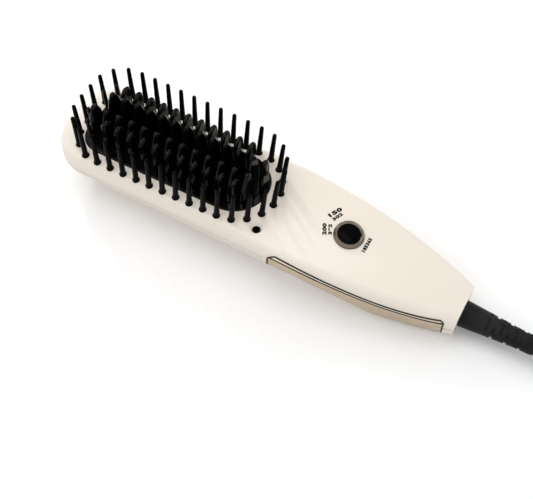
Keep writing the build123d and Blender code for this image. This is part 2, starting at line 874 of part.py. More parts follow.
with BuildPart() as thermal_cutoff:
    with BuildSketch(Plane.YZ.offset(heater_x - cutoff_length / 2)):
        with Locations((cutoff_side, clamp_bottom - cutoff_radius)):
            Circle(cutoff_radius)
    extrude(amount=cutoff_length)

with BuildPart() as temperature_sensor:
    with BuildSketch(Plane.YZ.offset(heater_x - sensor_length / 2)):
        with Locations((-cutoff_side, clamp_bottom - sensor_radius)):
            Circle(sensor_radius)
    extrude(amount=sensor_length)

# Screws of three lengths
with BuildPart() as carrier_screws:
    add(screw_set(medium_screw, [(place, side, carrier_bottom) for place, side in ear_points]))

with BuildPart() as plate_screws:
    tab_seat = plate_bottom - tab_thickness
    clamp_seat = plate_bottom - clamp_thickness
    tab_screws = [(place, side, tab_seat) for place, side in tab_places]
    foot_screws = [(place, side, clamp_seat) for place, side in clamp_hole_places]
    add(screw_set(short_screw, tab_screws))
    add(screw_set(clamp_plate_screw, foot_screws))

with BuildPart() as shell_screws:
    seats = [(place, side, joint - screw_seat) for place, side, joint in case_screws]
    add(screw_set(long_screw, seats))

with BuildPart(button_plane.offset(board_bottom)) as board_screws:
    with Locations(*[(place, 0) for place in board_screw_places]):
        add(screw(short_screw))

# Bezel, button cap with its flange and stem, and the switch under it
with BuildPart() as button_bezel:
    with BuildSketch(button_profile):
        with BuildLine():
            Polyline(
                (bezel_bore, -bezel_depth),
                (skirt_radius, -bezel_depth),
                (skirt_radius, -bezel_sunk),
                (bezel_radius, -bezel_sunk),
                (bezel_radius, bezel_shoulder),
                (bezel_crown_radius, bezel_height),
                (bezel_bore + bezel_lead, bezel_height - bezel_lead),
                (bezel_bore, bezel_height - 2 * bezel_lead),
                close=True,
            )
        make_face()
    revolve(axis=button_axis)

flange_top_depth = -bezel_depth - button_flange_gap
flange_bottom_depth = flange_top_depth - button_flange_thickness
with BuildPart() as power_button:
    with BuildSketch(button_profile):
        with BuildLine():
            Polyline(
                (0, button_proud),
                (0, stem_bottom),
                (stem_radius, stem_bottom),
                (stem_radius, flange_bottom_depth),
                (button_radius + button_flange, flange_bottom_depth),
                (button_radius + button_flange, flange_top_depth),
                (button_radius, flange_top_depth),
                (button_radius, button_proud - button_dome),
            )
            TangentArc((0, button_proud), (button_radius, button_proud - button_dome), tangent=(1, 0))
        make_face()
    revolve(axis=button_axis)

with BuildPart() as switch_plunger:
    add(tilted_post(0, 0, switch_top - plunger_engagement, stem_bottom, plunger_radius))

with BuildPart() as tact_switch:
    with BuildSketch(button_plane.offset(board_top)):
        Rectangle(switch_size, switch_size)
    extrude(amount=switch_height)
    well = plunger_radius + plunger_gap
    low = switch_top - switch_well
    add(tilted_post(0, 0, low, switch_top + overrun, well), mode=Mode.SUBTRACT)

with BuildPart() as circuit_board:
    with BuildSketch(button_plane.offset(board_bottom)):
        with Locations((board_shift, 0)):
            RectangleRounded(board_length, board_width, board_corner)
        with Locations(*[(place, 0) for place in board_screw_places]):
            Circle(screw_hole, mode=Mode.SUBTRACT)
    extrude(amount=board_thickness)
    for place, side, length, width, height in board_parts:
        with BuildSketch(button_plane.offset(board_bottom)):
            with Locations((place, side)):
                Rectangle(length, width)
        extrude(amount=-height)

# Boot: a neck through the tail, an inner flange, a smooth collar and pairs of slots
def boot_radius_at(reach):
    """Outer radius of the boot past its collar, at a distance from the tail."""
    if reach < boot_taper_length:
        share = (reach - boot_collar) / (boot_taper_length - boot_collar)
        return boot_collar_radius + share * (boot_waist_radius - boot_collar_radius)
    share = (reach - boot_taper_length) / (boot_reach - boot_taper_length)
    return boot_waist_radius + share * (boot_tip_radius - boot_waist_radius)


boot_axis = Axis((0, 0, cord_axis_height), (1, 0, 0))
boot_bore = cord_radius + boot_bore_gap
with BuildPart() as cord_boot:
    with BuildSketch(Plane.XZ):
        with BuildLine():
            start = tail_end - tail_wall - boot_flange_thickness
            Polyline(
                (start, cord_axis_height + boot_bore),
                (start, cord_axis_height + boot_flange_radius),
                (tail_end - tail_wall, cord_axis_height + boot_flange_radius),
                (tail_end - tail_wall, cord_axis_height + boot_neck_radius),
                (tail_end, cord_axis_height + boot_neck_radius),
                (tail_end, cord_axis_height + boot_radius),
                (tail_end + boot_collar, cord_axis_height + boot_collar_radius),
                (tail_end + boot_taper_length, cord_axis_height + boot_waist_radius),
                (boot_end, cord_axis_height + boot_tip_radius),
                (boot_end, cord_axis_height + boot_bore),
                close=True,
            )
        make_face()
    revolve(axis=boot_axis)
    for station in range(boot_slot_count):
        reach = boot_collar + boot_slot_start + station * boot_slot_pitch
        fall = (boot_slot_depth_start - boot_slot_depth_end) / (boot_slot_count - 1)
        core = boot_radius_at(reach) - boot_slot_depth_start + station * fall
        with BuildSketch(Plane.YZ.offset(tail_end + reach)):
            with Locations((0, cord_axis_height)):
                Circle(2 * boot_radius)
                Circle(core, mode=Mode.SUBTRACT)
                turn = 90 if station % 2 else 0
                Rectangle(4 * boot_radius, boot_bridge, rotation=turn, mode=Mode.SUBTRACT)
        extrude(amount=boot_slot_width, mode=Mode.SUBTRACT)

# The cord's own end, inside the boot and the tail, and the bar that grips it
with BuildPart() as cord_inlet:
    with BuildSketch(Plane.YZ.offset(head_end + sheath_start)):
        with Locations((0, cord_axis_height)):
            Circle(cord_radius)
    extrude(amount=boot_end - head_end - sheath_start)

with BuildPart() as cord_clamp:
    with BuildSketch(Plane.XY.offset(grip_boss_top)):
        with Locations((head_end + grip_bar_place, 0)):
            Rectangle(grip_bar_width, grip_bar_length)
            with Locations((0, grip_screw_place), (0, -grip_screw_place)):
                Circle(screw_hole, mode=Mode.SUBTRACT)
    extrude(amount=grip_bar_thickness)

with BuildPart() as clamp_screws:
    seat_height = grip_boss_top + grip_bar_thickness
    for side in (grip_screw_place, -grip_screw_place):
        seat = Plane((head_end + grip_bar_place, side, seat_height), z_dir=(0, 0, -1))
        add(seat.location * screw(medium_screw))


# Wires: two from the cord to the board, two from the board to the heater
def board_point(place, side, below):
    """A point below the board, in the button's own coordinates."""
    return tuple(button_plane.from_local_coords((place, side, board_bottom - below)))


with BuildPart() as supply_wires:
    for hand in (1, -1):
        side = hand * wire_spacing / 2
        route = [(head_end + sheath_start, hand * supply_wire_side, cord_axis_height)]
        route += [(head_end + place, hand * out, height) for place, out, height in supply_wire_bends]
        route.append(board_point(supply_wire_place, side, supply_wire_drop))
        route.append(board_point(supply_wire_place, side, 0))
        add(tube(route, wire_radius))

with BuildPart() as heater_wires:
    heater_end = head_end + fin_middle + heater_length / 2
    wire_height = heater_bottom + heater_thickness / 2
    for hand in (1, -1):
        side = hand * wire_spacing / 2
        route = [board_point(heater_wire_place, side, 0)]
        route.append(board_point(heater_wire_place, side, heater_wire_drop))
        route += [(head_end + place, hand * out, height) for place, out, height in heater_wire_bends]
        route.append((heater_end + heater_wire_lead, side, wire_height))
        route.append((heater_end, side, wire_height))
        add(tube(route, wire_radius))

pieces = {
    "top_shell": top_shell,
    "back_shell": back_shell,
    "trim_left": trim_left,
    "trim_right": trim_right,
    "pin_ring": pin_ring,
    "heating_plate": heating_plate,
    "plate_gasket": plate_gasket,
    "plate_carrier": plate_carrier,
    "ceramic_heater": ceramic_heater,
    "insulation_film": insulation_film,
    "heater_clamp": heater_clamp,
    "thermal_cutoff": thermal_cutoff,
    "temperature_sensor": temperature_sensor,
    "carrier_screws": carrier_screws,
    "plate_screws": plate_screws,
    "shell_screws": shell_screws,
    "board_screws": board_screws,
    "button_bezel": button_bezel,
    "power_button": power_button,
    "switch_plunger": switch_plunger,
    "tact_switch": tact_switch,
    "circuit_board": circuit_board,
    "cord_boot": cord_boot,
    "cord_inlet": cord_inlet,
    "cord_clamp": cord_clamp,
    "clamp_screws": clamp_screws,
    "supply_wires": supply_wires,
    "heater_wires": heater_wires,
}
for label, piece in pieces.items():
    piece.part.label = label
    export_step(piece.part, f"parts/{label}.step")
    print(label, len(piece.part.solids()), round(piece.part.volume))
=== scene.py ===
from math import cos, pi, radians, sin

import bmesh
import bpy
from mathutils import Matrix, Vector
from mathutils.bvhtree import BVHTree
from mathutils.kdtree import KDTree


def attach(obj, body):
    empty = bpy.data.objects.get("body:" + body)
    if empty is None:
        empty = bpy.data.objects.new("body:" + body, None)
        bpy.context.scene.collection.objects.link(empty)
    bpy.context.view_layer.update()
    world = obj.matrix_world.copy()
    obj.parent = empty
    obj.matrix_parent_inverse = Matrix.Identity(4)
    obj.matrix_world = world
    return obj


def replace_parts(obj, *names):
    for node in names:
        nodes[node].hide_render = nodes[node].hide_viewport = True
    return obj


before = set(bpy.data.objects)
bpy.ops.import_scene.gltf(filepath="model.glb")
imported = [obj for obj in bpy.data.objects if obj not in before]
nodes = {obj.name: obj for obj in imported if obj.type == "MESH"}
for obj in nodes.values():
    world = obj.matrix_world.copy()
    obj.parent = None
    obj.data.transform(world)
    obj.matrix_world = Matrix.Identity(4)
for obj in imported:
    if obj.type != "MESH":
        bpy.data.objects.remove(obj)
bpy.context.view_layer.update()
mm = 0.001
collection = bpy.context.scene.collection
print("frame loaded:", len(nodes), "nodes")

# Camera, at the angle and distance that fit the pins, the fins and the outline
view = {
    "azimuth": 29.13,
    "elevation": 58.02,
    "distance": 405.8,
    "sideways": -41.11,
    "upwards": 43.29,
    "lens": 60.79,
    "target": (-66.0, 0.0, 29.5),
}
azimuth = radians(view["azimuth"])
elevation = radians(view["elevation"])
right = Vector((cos(azimuth), sin(azimuth), 0))
back = Vector((sin(azimuth) * cos(elevation), -cos(azimuth) * cos(elevation), sin(elevation)))
up = back.cross(right)
place = Vector(view["target"]) + back * view["distance"]
place -= right * view["sideways"] + up * view["upwards"]
cameraData = bpy.data.cameras.new("camera")
cameraData.lens = view["lens"]
cameraData.sensor_width = 36
cameraData.clip_start = 0.01
camera = bpy.data.objects.new("camera", cameraData)
turned = Matrix((right, up, back)).transposed().to_4x4()
camera.matrix_world = Matrix.Translation(place * mm) @ turned
collection.objects.link(camera)
bpy.context.scene.camera = camera

floatKind = "NodeSocketFloat"
colorKind = "NodeSocketColor"
vectorKind = "NodeSocketVector"


# An empty shader group with its named inputs and outputs
def newGroup(name, inputs, outputs):
    group = bpy.data.node_groups.new(name, "ShaderNodeTree")
    for label, kind, value in inputs:
        socket = group.interface.new_socket(label, in_out="INPUT", socket_type=kind)
        socket.default_value = value
    for label, kind in outputs:
        group.interface.new_socket(label, in_out="OUTPUT", socket_type=kind)
    return group, group.nodes.new("NodeGroupInput"), group.nodes.new("NodeGroupOutput")


# A math node on two sockets or numbers
def addMath(tree, operation, first, second):
    node = tree.nodes.new("ShaderNodeMath")
    node.operation = operation
    for i, value in enumerate((first, second)):
        if isinstance(value, (int, float)):
            node.inputs[i].default_value = value
        else:
            tree.links.new(value, node.inputs[i])
    return node.outputs[0]


# Noise on a vector, its scale a socket or a number
def addNoise(tree, vector, scale, detail=2.0):
    node = tree.nodes.new("ShaderNodeTexNoise")
    node.inputs["Detail"].default_value = detail
    tree.links.new(vector, node.inputs["Vector"])
    if isinstance(scale, (int, float)):
        node.inputs["Scale"].default_value = scale
    else:
        tree.links.new(scale, node.inputs["Scale"])
    return node.outputs[0]


# Roughness that swings with a pattern of 0 to 1
def addSwing(tree, pattern, roughness, spread):
    centred = addMath(tree, "SUBTRACT", addMath(tree, "MULTIPLY", pattern, 2.0), 1.0)
    return addMath(tree, "ADD", roughness, addMath(tree, "MULTIPLY", centred, spread))


# Shares and scales of the surface patterns
patternFacts = {
    "slowScale": 0.02,
    "slowHeight": 0.8,
    "brushStretch": (0.03, 1.0, 1.0),
    "dustScale": 3000.0,
    "ringHeight": 0.35,
    "toneFrom": 0.35,
    "toneTo": 0.65,
}
surfaceInputs = [("Scale", floatKind, 4000.0), ("Roughness", floatKind, 0.3), ("Spread", floatKind, 0.1)]
surfaceOutputs = [("Height", floatKind), ("Roughness", floatKind)]

# Fine mould grain over a slow wave
grainGroup, start, end = newGroup("mouldGrain", surfaceInputs, surfaceOutputs)
coords = grainGroup.nodes.new("ShaderNodeTexCoord").outputs["Object"]
fine = addNoise(grainGroup, coords, start.outputs["Scale"], 3.0)
slowScale = addMath(grainGroup, "MULTIPLY", start.outputs["Scale"], patternFacts["slowScale"])
slow = addNoise(grainGroup, coords, slowScale)
wave = addMath(grainGroup, "MULTIPLY", slow, patternFacts["slowHeight"])
height = addMath(grainGroup, "ADD", fine, wave)
rough = addSwing(grainGroup, slow, start.outputs["Roughness"], start.outputs["Spread"])
grainGroup.links.new(height, end.inputs["Height"])
grainGroup.links.new(rough, end.inputs["Roughness"])

# Lines drawn out along X, as brushing leaves them
brushGroup, start, end = newGroup("brushedLines", surfaceInputs, surfaceOutputs)
coords = brushGroup.nodes.new("ShaderNodeTexCoord").outputs["Object"]
stretch = brushGroup.nodes.new("ShaderNodeMapping")
stretch.inputs["Scale"].default_value = patternFacts["brushStretch"]
brushGroup.links.new(coords, stretch.inputs["Vector"])
lines = addNoise(brushGroup, stretch.outputs["Vector"], start.outputs["Scale"], 4.0)
rough = addSwing(brushGroup, lines, start.outputs["Roughness"], start.outputs["Spread"])
brushGroup.links.new(lines, end.inputs["Height"])
brushGroup.links.new(rough, end.inputs["Roughness"])

# Fine rings round the button's axis, as turning and polishing leave them
ringGroup, start, end = newGroup(
    "turnedRings",
    [*surfaceInputs, ("Center", vectorKind, (0.0214, 0.0, 0.0))],
    surfaceOutputs,
)
coords = ringGroup.nodes.new("ShaderNodeTexCoord").outputs["Object"]
flat = ringGroup.nodes.new("ShaderNodeVectorMath")
flat.operation = "MULTIPLY"
flat.inputs[1].default_value = (1.0, 1.0, 0.0)
ringGroup.links.new(coords, flat.inputs[0])
away = ringGroup.nodes.new("ShaderNodeVectorMath")
away.operation = "DISTANCE"
ringGroup.links.new(flat.outputs["Vector"], away.inputs[0])
ringGroup.links.new(start.outputs["Center"], away.inputs[1])
ripple = addMath(ringGroup, "MULTIPLY", away.outputs["Value"], start.outputs["Scale"])
ripple = addMath(ringGroup, "SINE", ripple, 0.0)
dust = addNoise(ringGroup, coords, patternFacts["dustScale"])
rings = addMath(ringGroup, "ADD", addMath(ringGroup, "MULTIPLY", ripple, patternFacts["ringHeight"]), dust)
rough = addSwing(ringGroup, dust, start.outputs["Roughness"], start.outputs["Spread"])
ringGroup.links.new(rings, end.inputs["Height"])
ringGroup.links.new(rough, end.inputs["Roughness"])

# Slow change of tone over a surface
toneGroup, start, end = newGroup(
    "softTone",
    [
        ("Color", colorKind, (0.8, 0.8, 0.8, 1)),
        ("Deep", colorKind, (0.7, 0.7, 0.7, 1)),
        ("Scale", floatKind, 40.0),
    ],
    [("Color", colorKind)],
)
coords = toneGroup.nodes.new("ShaderNodeTexCoord").outputs["Object"]
tone = addNoise(toneGroup, coords, start.outputs["Scale"], 4.0)
ramp = toneGroup.nodes.new("ShaderNodeMapRange")
ramp.inputs["From Min"].default_value = patternFacts["toneFrom"]
ramp.inputs["From Max"].default_value = patternFacts["toneTo"]
toneGroup.links.new(tone, ramp.inputs["Value"])
blend = toneGroup.nodes.new("ShaderNodeMix")
blend.data_type = "RGBA"
toneGroup.links.new(ramp.outputs["Result"], blend.inputs["Factor"])
toneGroup.links.new(start.outputs["Deep"], blend.inputs[6])
toneGroup.links.new(start.outputs["Color"], blend.inputs[7])
toneGroup.links.new(blend.outputs[2], end.inputs["Color"])

surfaceGroups = {"grained": grainGroup, "brushed": brushGroup, "turned": ringGroup}


# A material with tone, surface pattern and bump from one finish's facts
def makeFinish(name, facts):
    material = bpy.data.materials.new(name)
    material.use_nodes = True
    tree = material.node_tree
    shader = tree.nodes["Principled BSDF"]
    shader.inputs["Metallic"].default_value = facts.get("metal", 0.0)
    shader.inputs["Coat Weight"].default_value = facts.get("coat", 0.0)
    shader.inputs["Coat Roughness"].default_value = facts.get("coatRoughness", 0.05)
    shader.inputs["IOR"].default_value = facts.get("ior", 1.5)
    tone = tree.nodes.new("ShaderNodeGroup")
    tone.node_tree = toneGroup
    tone.inputs["Color"].default_value = (*facts["color"], 1)
    tone.inputs["Deep"].default_value = (*facts["deep"], 1)
    tone.inputs["Scale"].default_value = facts.get("toneScale", 40.0)
    tree.links.new(tone.outputs["Color"], shader.inputs["Base Color"])
    surface = tree.nodes.new("ShaderNodeGroup")
    surface.node_tree = surfaceGroups[facts.get("surface", "grained")]
    surface.inputs["Scale"].default_value = facts["grain"]
    surface.inputs["Roughness"].default_value = facts["roughness"]
    surface.inputs["Spread"].default_value = facts.get("spread", 0.08)
    tree.links.new(surface.outputs["Roughness"], shader.inputs["Roughness"])
    bump = tree.nodes.new("ShaderNodeBump")
    bump.inputs["Strength"].default_value = facts.get("bump", 0.2)
    bump.inputs["Distance"].default_value = facts.get("relief", 0.01) * mm
    tree.links.new(surface.outputs["Height"], bump.inputs["Height"])
    tree.links.new(bump.outputs["Normal"], shader.inputs["Normal"])
    return material


# Finishes, one for each material slot of the model and for the small trim
finishes = {
    "casing": {"color": (0.825, 0.755, 0.665), "deep": (0.81, 0.735, 0.64), "toneScale": 18.0,
               "roughness": 0.34, "grain": 2500.0, "coat": 0.25, "coatRoughness": 0.14, "bump": 0.10},
    "trim": {"color": (0.55, 0.455, 0.345), "deep": (0.50, 0.41, 0.305), "metal": 1.0, "surface": "brushed",
             "roughness": 0.38, "grain": 1500.0, "spread": 0.08, "bump": 0.22},
    "pins": {"color": (0.0028, 0.0028, 0.003), "deep": (0.0018, 0.0018, 0.002), "toneScale": 90.0,
             "roughness": 0.26, "grain": 6000.0, "bump": 0.25, "ior": 1.10},
    "plate": {"color": (0.0022, 0.0022, 0.0024), "deep": (0.0014, 0.0014, 0.0016), "toneScale": 60.0,
              "roughness": 0.13, "grain": 3500.0, "coat": 0.08, "coatRoughness": 0.06, "bump": 0.12,
              "ior": 1.18},
    "gasket": {"color": (0.03, 0.03, 0.03), "deep": (0.02, 0.02, 0.02), "roughness": 0.6, "grain": 3000.0},
    "carrier": {"color": (0.09, 0.09, 0.09), "deep": (0.06, 0.06, 0.06), "roughness": 0.55, "grain": 2500.0},
    "heater": {"color": (0.84, 0.82, 0.77), "deep": (0.74, 0.72, 0.66), "roughness": 0.6, "grain": 3000.0},
    "film": {"color": (0.62, 0.38, 0.10), "deep": (0.52, 0.30, 0.07), "roughness": 0.25, "grain": 800.0},
    "clamp_steel": {"color": (0.60, 0.60, 0.60), "deep": (0.50, 0.50, 0.50), "metal": 1.0,
                    "surface": "brushed", "roughness": 0.35, "grain": 1200.0},
    "cutoff": {"color": (0.68, 0.68, 0.68), "deep": (0.58, 0.58, 0.58), "metal": 1.0,
               "surface": "brushed", "roughness": 0.30, "grain": 1200.0},
    "sensor": {"color": (0.70, 0.62, 0.50), "deep": (0.55, 0.47, 0.36), "roughness": 0.1, "grain": 2000.0},
    "screws": {"color": (0.58, 0.58, 0.57), "deep": (0.46, 0.46, 0.45), "metal": 1.0,
               "roughness": 0.35, "grain": 4000.0},
    "bezel": {"color": (0.21, 0.175, 0.14), "deep": (0.17, 0.14, 0.11), "metal": 1.0,
              "surface": "turned", "roughness": 0.20, "grain": 16000.0, "spread": 0.06, "bump": 0.25},
    "button": {"color": (0.0014, 0.0014, 0.0016), "deep": (0.0010, 0.0010, 0.0011), "surface": "turned",
               "roughness": 0.13, "grain": 5200.0, "bump": 0.30, "ior": 1.09},
    "switch_plastic": {"color": (0.55, 0.10, 0.07), "deep": (0.45, 0.07, 0.05),
                       "roughness": 0.5, "grain": 3000.0},
    "switch_body": {"color": (0.03, 0.03, 0.03), "deep": (0.02, 0.02, 0.02),
                    "roughness": 0.5, "grain": 3000.0},
    "board": {"color": (0.03, 0.16, 0.06), "deep": (0.02, 0.11, 0.04), "roughness": 0.3, "grain": 1500.0},
    "boot": {"color": (0.021, 0.021, 0.022), "deep": (0.012, 0.012, 0.0125), "toneScale": 70.0,
             "roughness": 0.26, "grain": 3500.0, "bump": 0.3, "relief": 0.02, "ior": 1.15},
    "cord_sheath": {"color": (0.0075, 0.0075, 0.008), "deep": (0.005, 0.005, 0.0055),
                    "roughness": 0.45, "grain": 4000.0},
    "wire_cover": {"color": (0.78, 0.78, 0.76), "deep": (0.66, 0.66, 0.64),
                   "roughness": 0.6, "grain": 5000.0},
    "print": {"color": (0.004, 0.004, 0.004), "deep": (0.008, 0.0075, 0.007),
              "roughness": 0.5, "grain": 6000.0, "ior": 1.3},
    "edgeBright": {"color": (0.80, 0.72, 0.60), "deep": (0.72, 0.64, 0.53), "metal": 1.0,
                   "surface": "brushed", "roughness": 0.12, "grain": 2500.0},
    # Painted shade: a darker copy of the casing's colour for the lines where a small step in the head's wall
    # shades
    "seamShade": {"color": (0.40, 0.345, 0.28), "deep": (0.34, 0.29, 0.235),
                  "roughness": 0.5, "grain": 3000.0},
    # Painted shade: near-black strips where the trim's upper edge and the groove below its bead fall into
    # shade
    "paintedEdgeShade": {"color": (0.012, 0.010, 0.008), "deep": (0.007, 0.006, 0.005),
                 "roughness": 0.45, "grain": 3000.0, "ior": 1.35},
}
materials = {name: makeFinish(name + "Finish", facts) for name, facts in finishes.items()}
for name, node in nodes.items():
    for slot in node.material_slots:
        key = slot.material.name.split(".")[0]
        if key in materials:
            slot.material = materials[key]
        else:
            print("no finish for", name, key)
print("finishes:", len(materials))


# A search tree over some nodes' surfaces, in metres
def surfaceOf(*names):
    whole = bmesh.new()
    for name in names:
        whole.from_mesh(nodes[name].data)
    tree = BVHTree.FromBMesh(whole)
    whole.free()
    return tree


# Where rays start: above the casing and beside it, in metres
rayAbove = 0.1
rayBeside = 0.05
topSurface = surfaceOf("top_shell")


# Height of the casing's top over a place, in metres
def heightAt(x, y):
    hit = topSurface.ray_cast(Vector((x, y, rayAbove)), Vector((0, 0, -1)))
    return hit[0].z if hit[0] else 0.0


# Links a mesh as a piece that rides on a body, with its finish
def newPiece(name, mesh, finish, body="housing"):
    piece = bpy.data.objects.new(name, mesh)
    collection.objects.link(piece)
    mesh.materials.clear()
    mesh.materials.append(materials[finish])
    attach(piece, body)
    return piece


# The plain mesh that an object gives once its modifiers have run; the object goes
def takeMesh(holder):
    bpy.context.view_layer.update()
    depsgraph = bpy.context.evaluated_depsgraph_get()
    mesh = bpy.data.meshes.new_from_object(holder.evaluated_get(depsgraph))
    bpy.data.objects.remove(holder)
    return mesh


# Lower half of the casing: below its widest line it runs in under the brush, most at the head.
# In millimetres: that line's height along X, the slope below it and how softly it starts, the
# band of wall that moves, and the cuts that give the wall its places to bend
hullFacts = {
    "line": ((-130.0, 19.3), (-8.0, 19.2), (1.2, 18.7), (8.3, 17.9), (15.3, 16.2), (22.2, 14.7),
             (29.0, 12.9), (35.8, 10.6), (42.4, 7.6), (49.0, 5.0), (80.0, 4.0)),
    "slope": ((-130.0, 0.58), (30.0, 0.58), (46.0, 0.0), (80.0, 0.0)),
    "start": 1.2,
    "band": 11.6,
    "spare": 0.8,
    "cuts": (0.5, 1.2, 2.0, 3.0, 4.2, 5.5, 7.0, 8.5, 10.0, 11.5, 13.0, 14.5, 16.0, 17.0, 17.6, 18.2,
             18.7, 19.2),
    "slices": {"first": -119.0, "last": 50.0, "apart": 7.0},
    "probe": 0.02,
    "weld": 0.0005,
}


# A value between the stations of a table
def between(table, x):
    for (xa, a), (xb, b) in zip(table, table[1:]):
        if x <= xb:
            return a + (b - a) * max(0.0, (x - xa) / (xb - xa))
    return table[-1][1]


# The same on a smooth curve through the stations
def flowing(table, x):
    last = len(table) - 1
    i = max(k for k in range(last) if x >= table[k][0] or k == 0)
    (xa, a), (xb, b) = table[i], table[i + 1]
    before, after = table[max(0, i - 1)], table[min(last, i + 2)]
    slopeA = (b - before[1]) / (xb - before[0])
    slopeB = (after[1] - a) / (after[0] - xa)
    t = max(0.0, min(1.0, (x - xa) / (xb - xa)))
    wide = xb - xa
    return ((2 * t**3 - 3 * t**2 + 1) * a + (t**3 - 2 * t**2 + t) * wide * slopeA
            + (3 * t**2 - 2 * t**3) * b + (t**3 - t**2) * wide * slopeB)


# The casing's plan at its widest height, on the side with y below 0: places from side rays
# along the body and from rays round the nose, in millimetres
rimFacts = {"height": 18.8, "noseEnd": -98.0, "tailEnd": 86.0, "step": 0.1, "noseRays": 900,
            "noseReach": 60.0, "near": 12}
sideSurface = surfaceOf("top_shell", "back_shell", "trim_left", "trim_right")
rim = []
for i in range(round(rimFacts["noseEnd"] / rimFacts["step"]), round(rimFacts["tailEnd"] / rimFacts["step"])):
    x = i * rimFacts["step"]
    hit = sideSurface.ray_cast(Vector((x * mm, -rayBeside, rimFacts["height"] * mm)), Vector((0, 1, 0)))
    if hit[0]:
        rim.append((x, hit[0].y * 1000))
nose = []
noseCentre = Vector((rimFacts["noseEnd"], 0, rimFacts["height"])) * mm
for i in range(rimFacts["noseRays"] + 1):
    angle = pi * 1.5 - pi / 2 * i / rimFacts["noseRays"]
    way = Vector((cos(angle), sin(angle), 0))
    hit = sideSurface.ray_cast(noseCentre + way * rimFacts["noseReach"] * mm, -way)
    if hit[0]:
        nose.append((hit[0].x * 1000, hit[0].y * 1000))
rim = nose[::-1] + [spot for spot in rim if spot[0] > rimFacts["noseEnd"]]
rimTree = KDTree(len(rim))
for i, (x, y) in enumerate(rim):
    rimTree.insert((x, y, 0), i)
rimTree.balance()
print("places on the rim:", len(rim))


# Distance in from the rim and the way in, for a place in the half with y below 0
def rimDepth(x, y):
    near = rimTree.find((x, y, 0))[1]
    before = rim[max(0, near - rimFacts["near"])]
    after = rim[min(len(rim) - 1, near + rimFacts["near"])]
    along = Vector((after[0] - before[0], after[1] - before[1])).normalized()
    inward = Vector((-along.y, along.x))
    return (x - rim[near][0]) * inward.x + (y - rim[near][1]) * inward.y, inward


# Where a place of the casing lies once its lower half has run in, in millimetres
def runIn(x, y, z):
    under = flowing(hullFacts["line"], x) - z
    slope = between(hullFacts["slope"], x)
    if under <= 0 or slope <= 0:
        return Vector((x, y, z))
    start = hullFacts["start"]
    shift = slope * (under**2 / (2 * start) if under < start else under - start / 2)
    side = 1 if y > 0 else -1
    depth, inward = rimDepth(x, -abs(y))
    band = hullFacts["band"]
    if depth >= band:
        return Vector((x, y, z))
    moved = min(shift, band - hullFacts["spare"]) * (band - max(depth, 0.0)) / band
    return Vector((x + inward.x * moved, y - side * inward.y * moved, z))


# A shell of the casing with its lower half run in, its normals carried along
def shapedShell(name):
    source = nodes[name].data
    shape = bmesh.new()
    shape.from_mesh(source)
    kept = shape.verts.layers.float_vector.new("keptNormal")
    shape.verts.ensure_lookup_table()
    for corner, normal in zip(source.loops, source.corner_normals):
        shape.verts[corner.vertex_index][kept] = normal.vector
    for cut in hullFacts["cuts"]:
        bmesh.ops.bisect_plane(shape, geom=shape.verts[:] + shape.edges[:] + shape.faces[:],
                               plane_co=(0, 0, cut * mm), plane_no=(0, 0, 1))
    low = [face for face in shape.faces
           if min(vert.co.z for vert in face.verts) < hullFacts["cuts"][-1] * mm]
    slices = hullFacts["slices"]
    place = slices["first"]
    while place < slices["last"]:
        low = [face for face in low if face.is_valid]
        parts = set(low)
        for face in low:
            parts.update(face.verts)
            parts.update(face.edges)
        cutDone = bmesh.ops.bisect_plane(shape, geom=list(parts), plane_co=(place * mm, 0, 0),
                                         plane_no=(1, 0, 0))
        low = [part for part in cutDone["geom"] if isinstance(part, bmesh.types.BMFace)]
        place += slices["apart"]
    bmesh.ops.triangulate(shape, faces=shape.faces[:])
    found = {}
    normals = shape.loops.layers.float_vector.new("keptNormal")
    step = hullFacts["probe"]
    highest = max(high for x, high in hullFacts["line"])
    for vert in shape.verts:
        x, y, z = vert.co * 1000
        key = (round(x, 3), round(y, 3), round(z, 3))
        if key not in found:
            here = runIn(x, y, z)
            turn = None
            if (here - Vector((x, y, z))).length > 0 or z < highest:
                turn = Matrix((
                    (runIn(x + step, y, z) - here) / step,
                    (runIn(x, y + step, z) - here) / step,
                    (runIn(x, y, z + step) - here) / step,
                )).inverted_safe()
            found[key] = (here, turn)
        here, turn = found[key]
        normal = Vector(vert[kept])
        if turn:
            normal = turn @ normal
        vert.co = here * mm
        for corner in vert.link_loops:
            corner[normals] = normal.normalized()
    bmesh.ops.remove_doubles(shape, verts=shape.verts, dist=hullFacts["weld"] * mm)
    for face in shape.faces:
        face.smooth = True
    given = [Vector(corner[normals]) for face in shape.faces for corner in face.loops]
    mesh = bpy.data.meshes.new(name + "_shaped")
    shape.to_mesh(mesh)
    shape.free()
    mesh.normals_split_custom_set(given)
    mesh.attributes.remove(mesh.attributes["keptNormal"])
    return mesh


for name in ("top_shell", "back_shell"):
    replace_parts(newPiece(name + "_shaped", shapedShell(name), "casing"), name)
    print("shaped:", name)

# Numerals printed round the button: text, middle, height, length and the way they read
numerals = (
    ("150", (11.1, 7.5), 2.1, 7.2, 67.0),
    ("302", (13.0, 5.9), 1.7, 5.6, 70.0),
    ("200", (11.0, -2.7), 1.9, 5.9, 117.0),
    ("392", (13.2, -1.6), 1.7, 5.4, 117.0),
    ("185365", (30.1, -0.1), 1.8, 7.8, 90.0),
)
printFacts = {"lift": 0.05, "boldness": 0.07, "spacing": 1.12, "smoothness": 3}


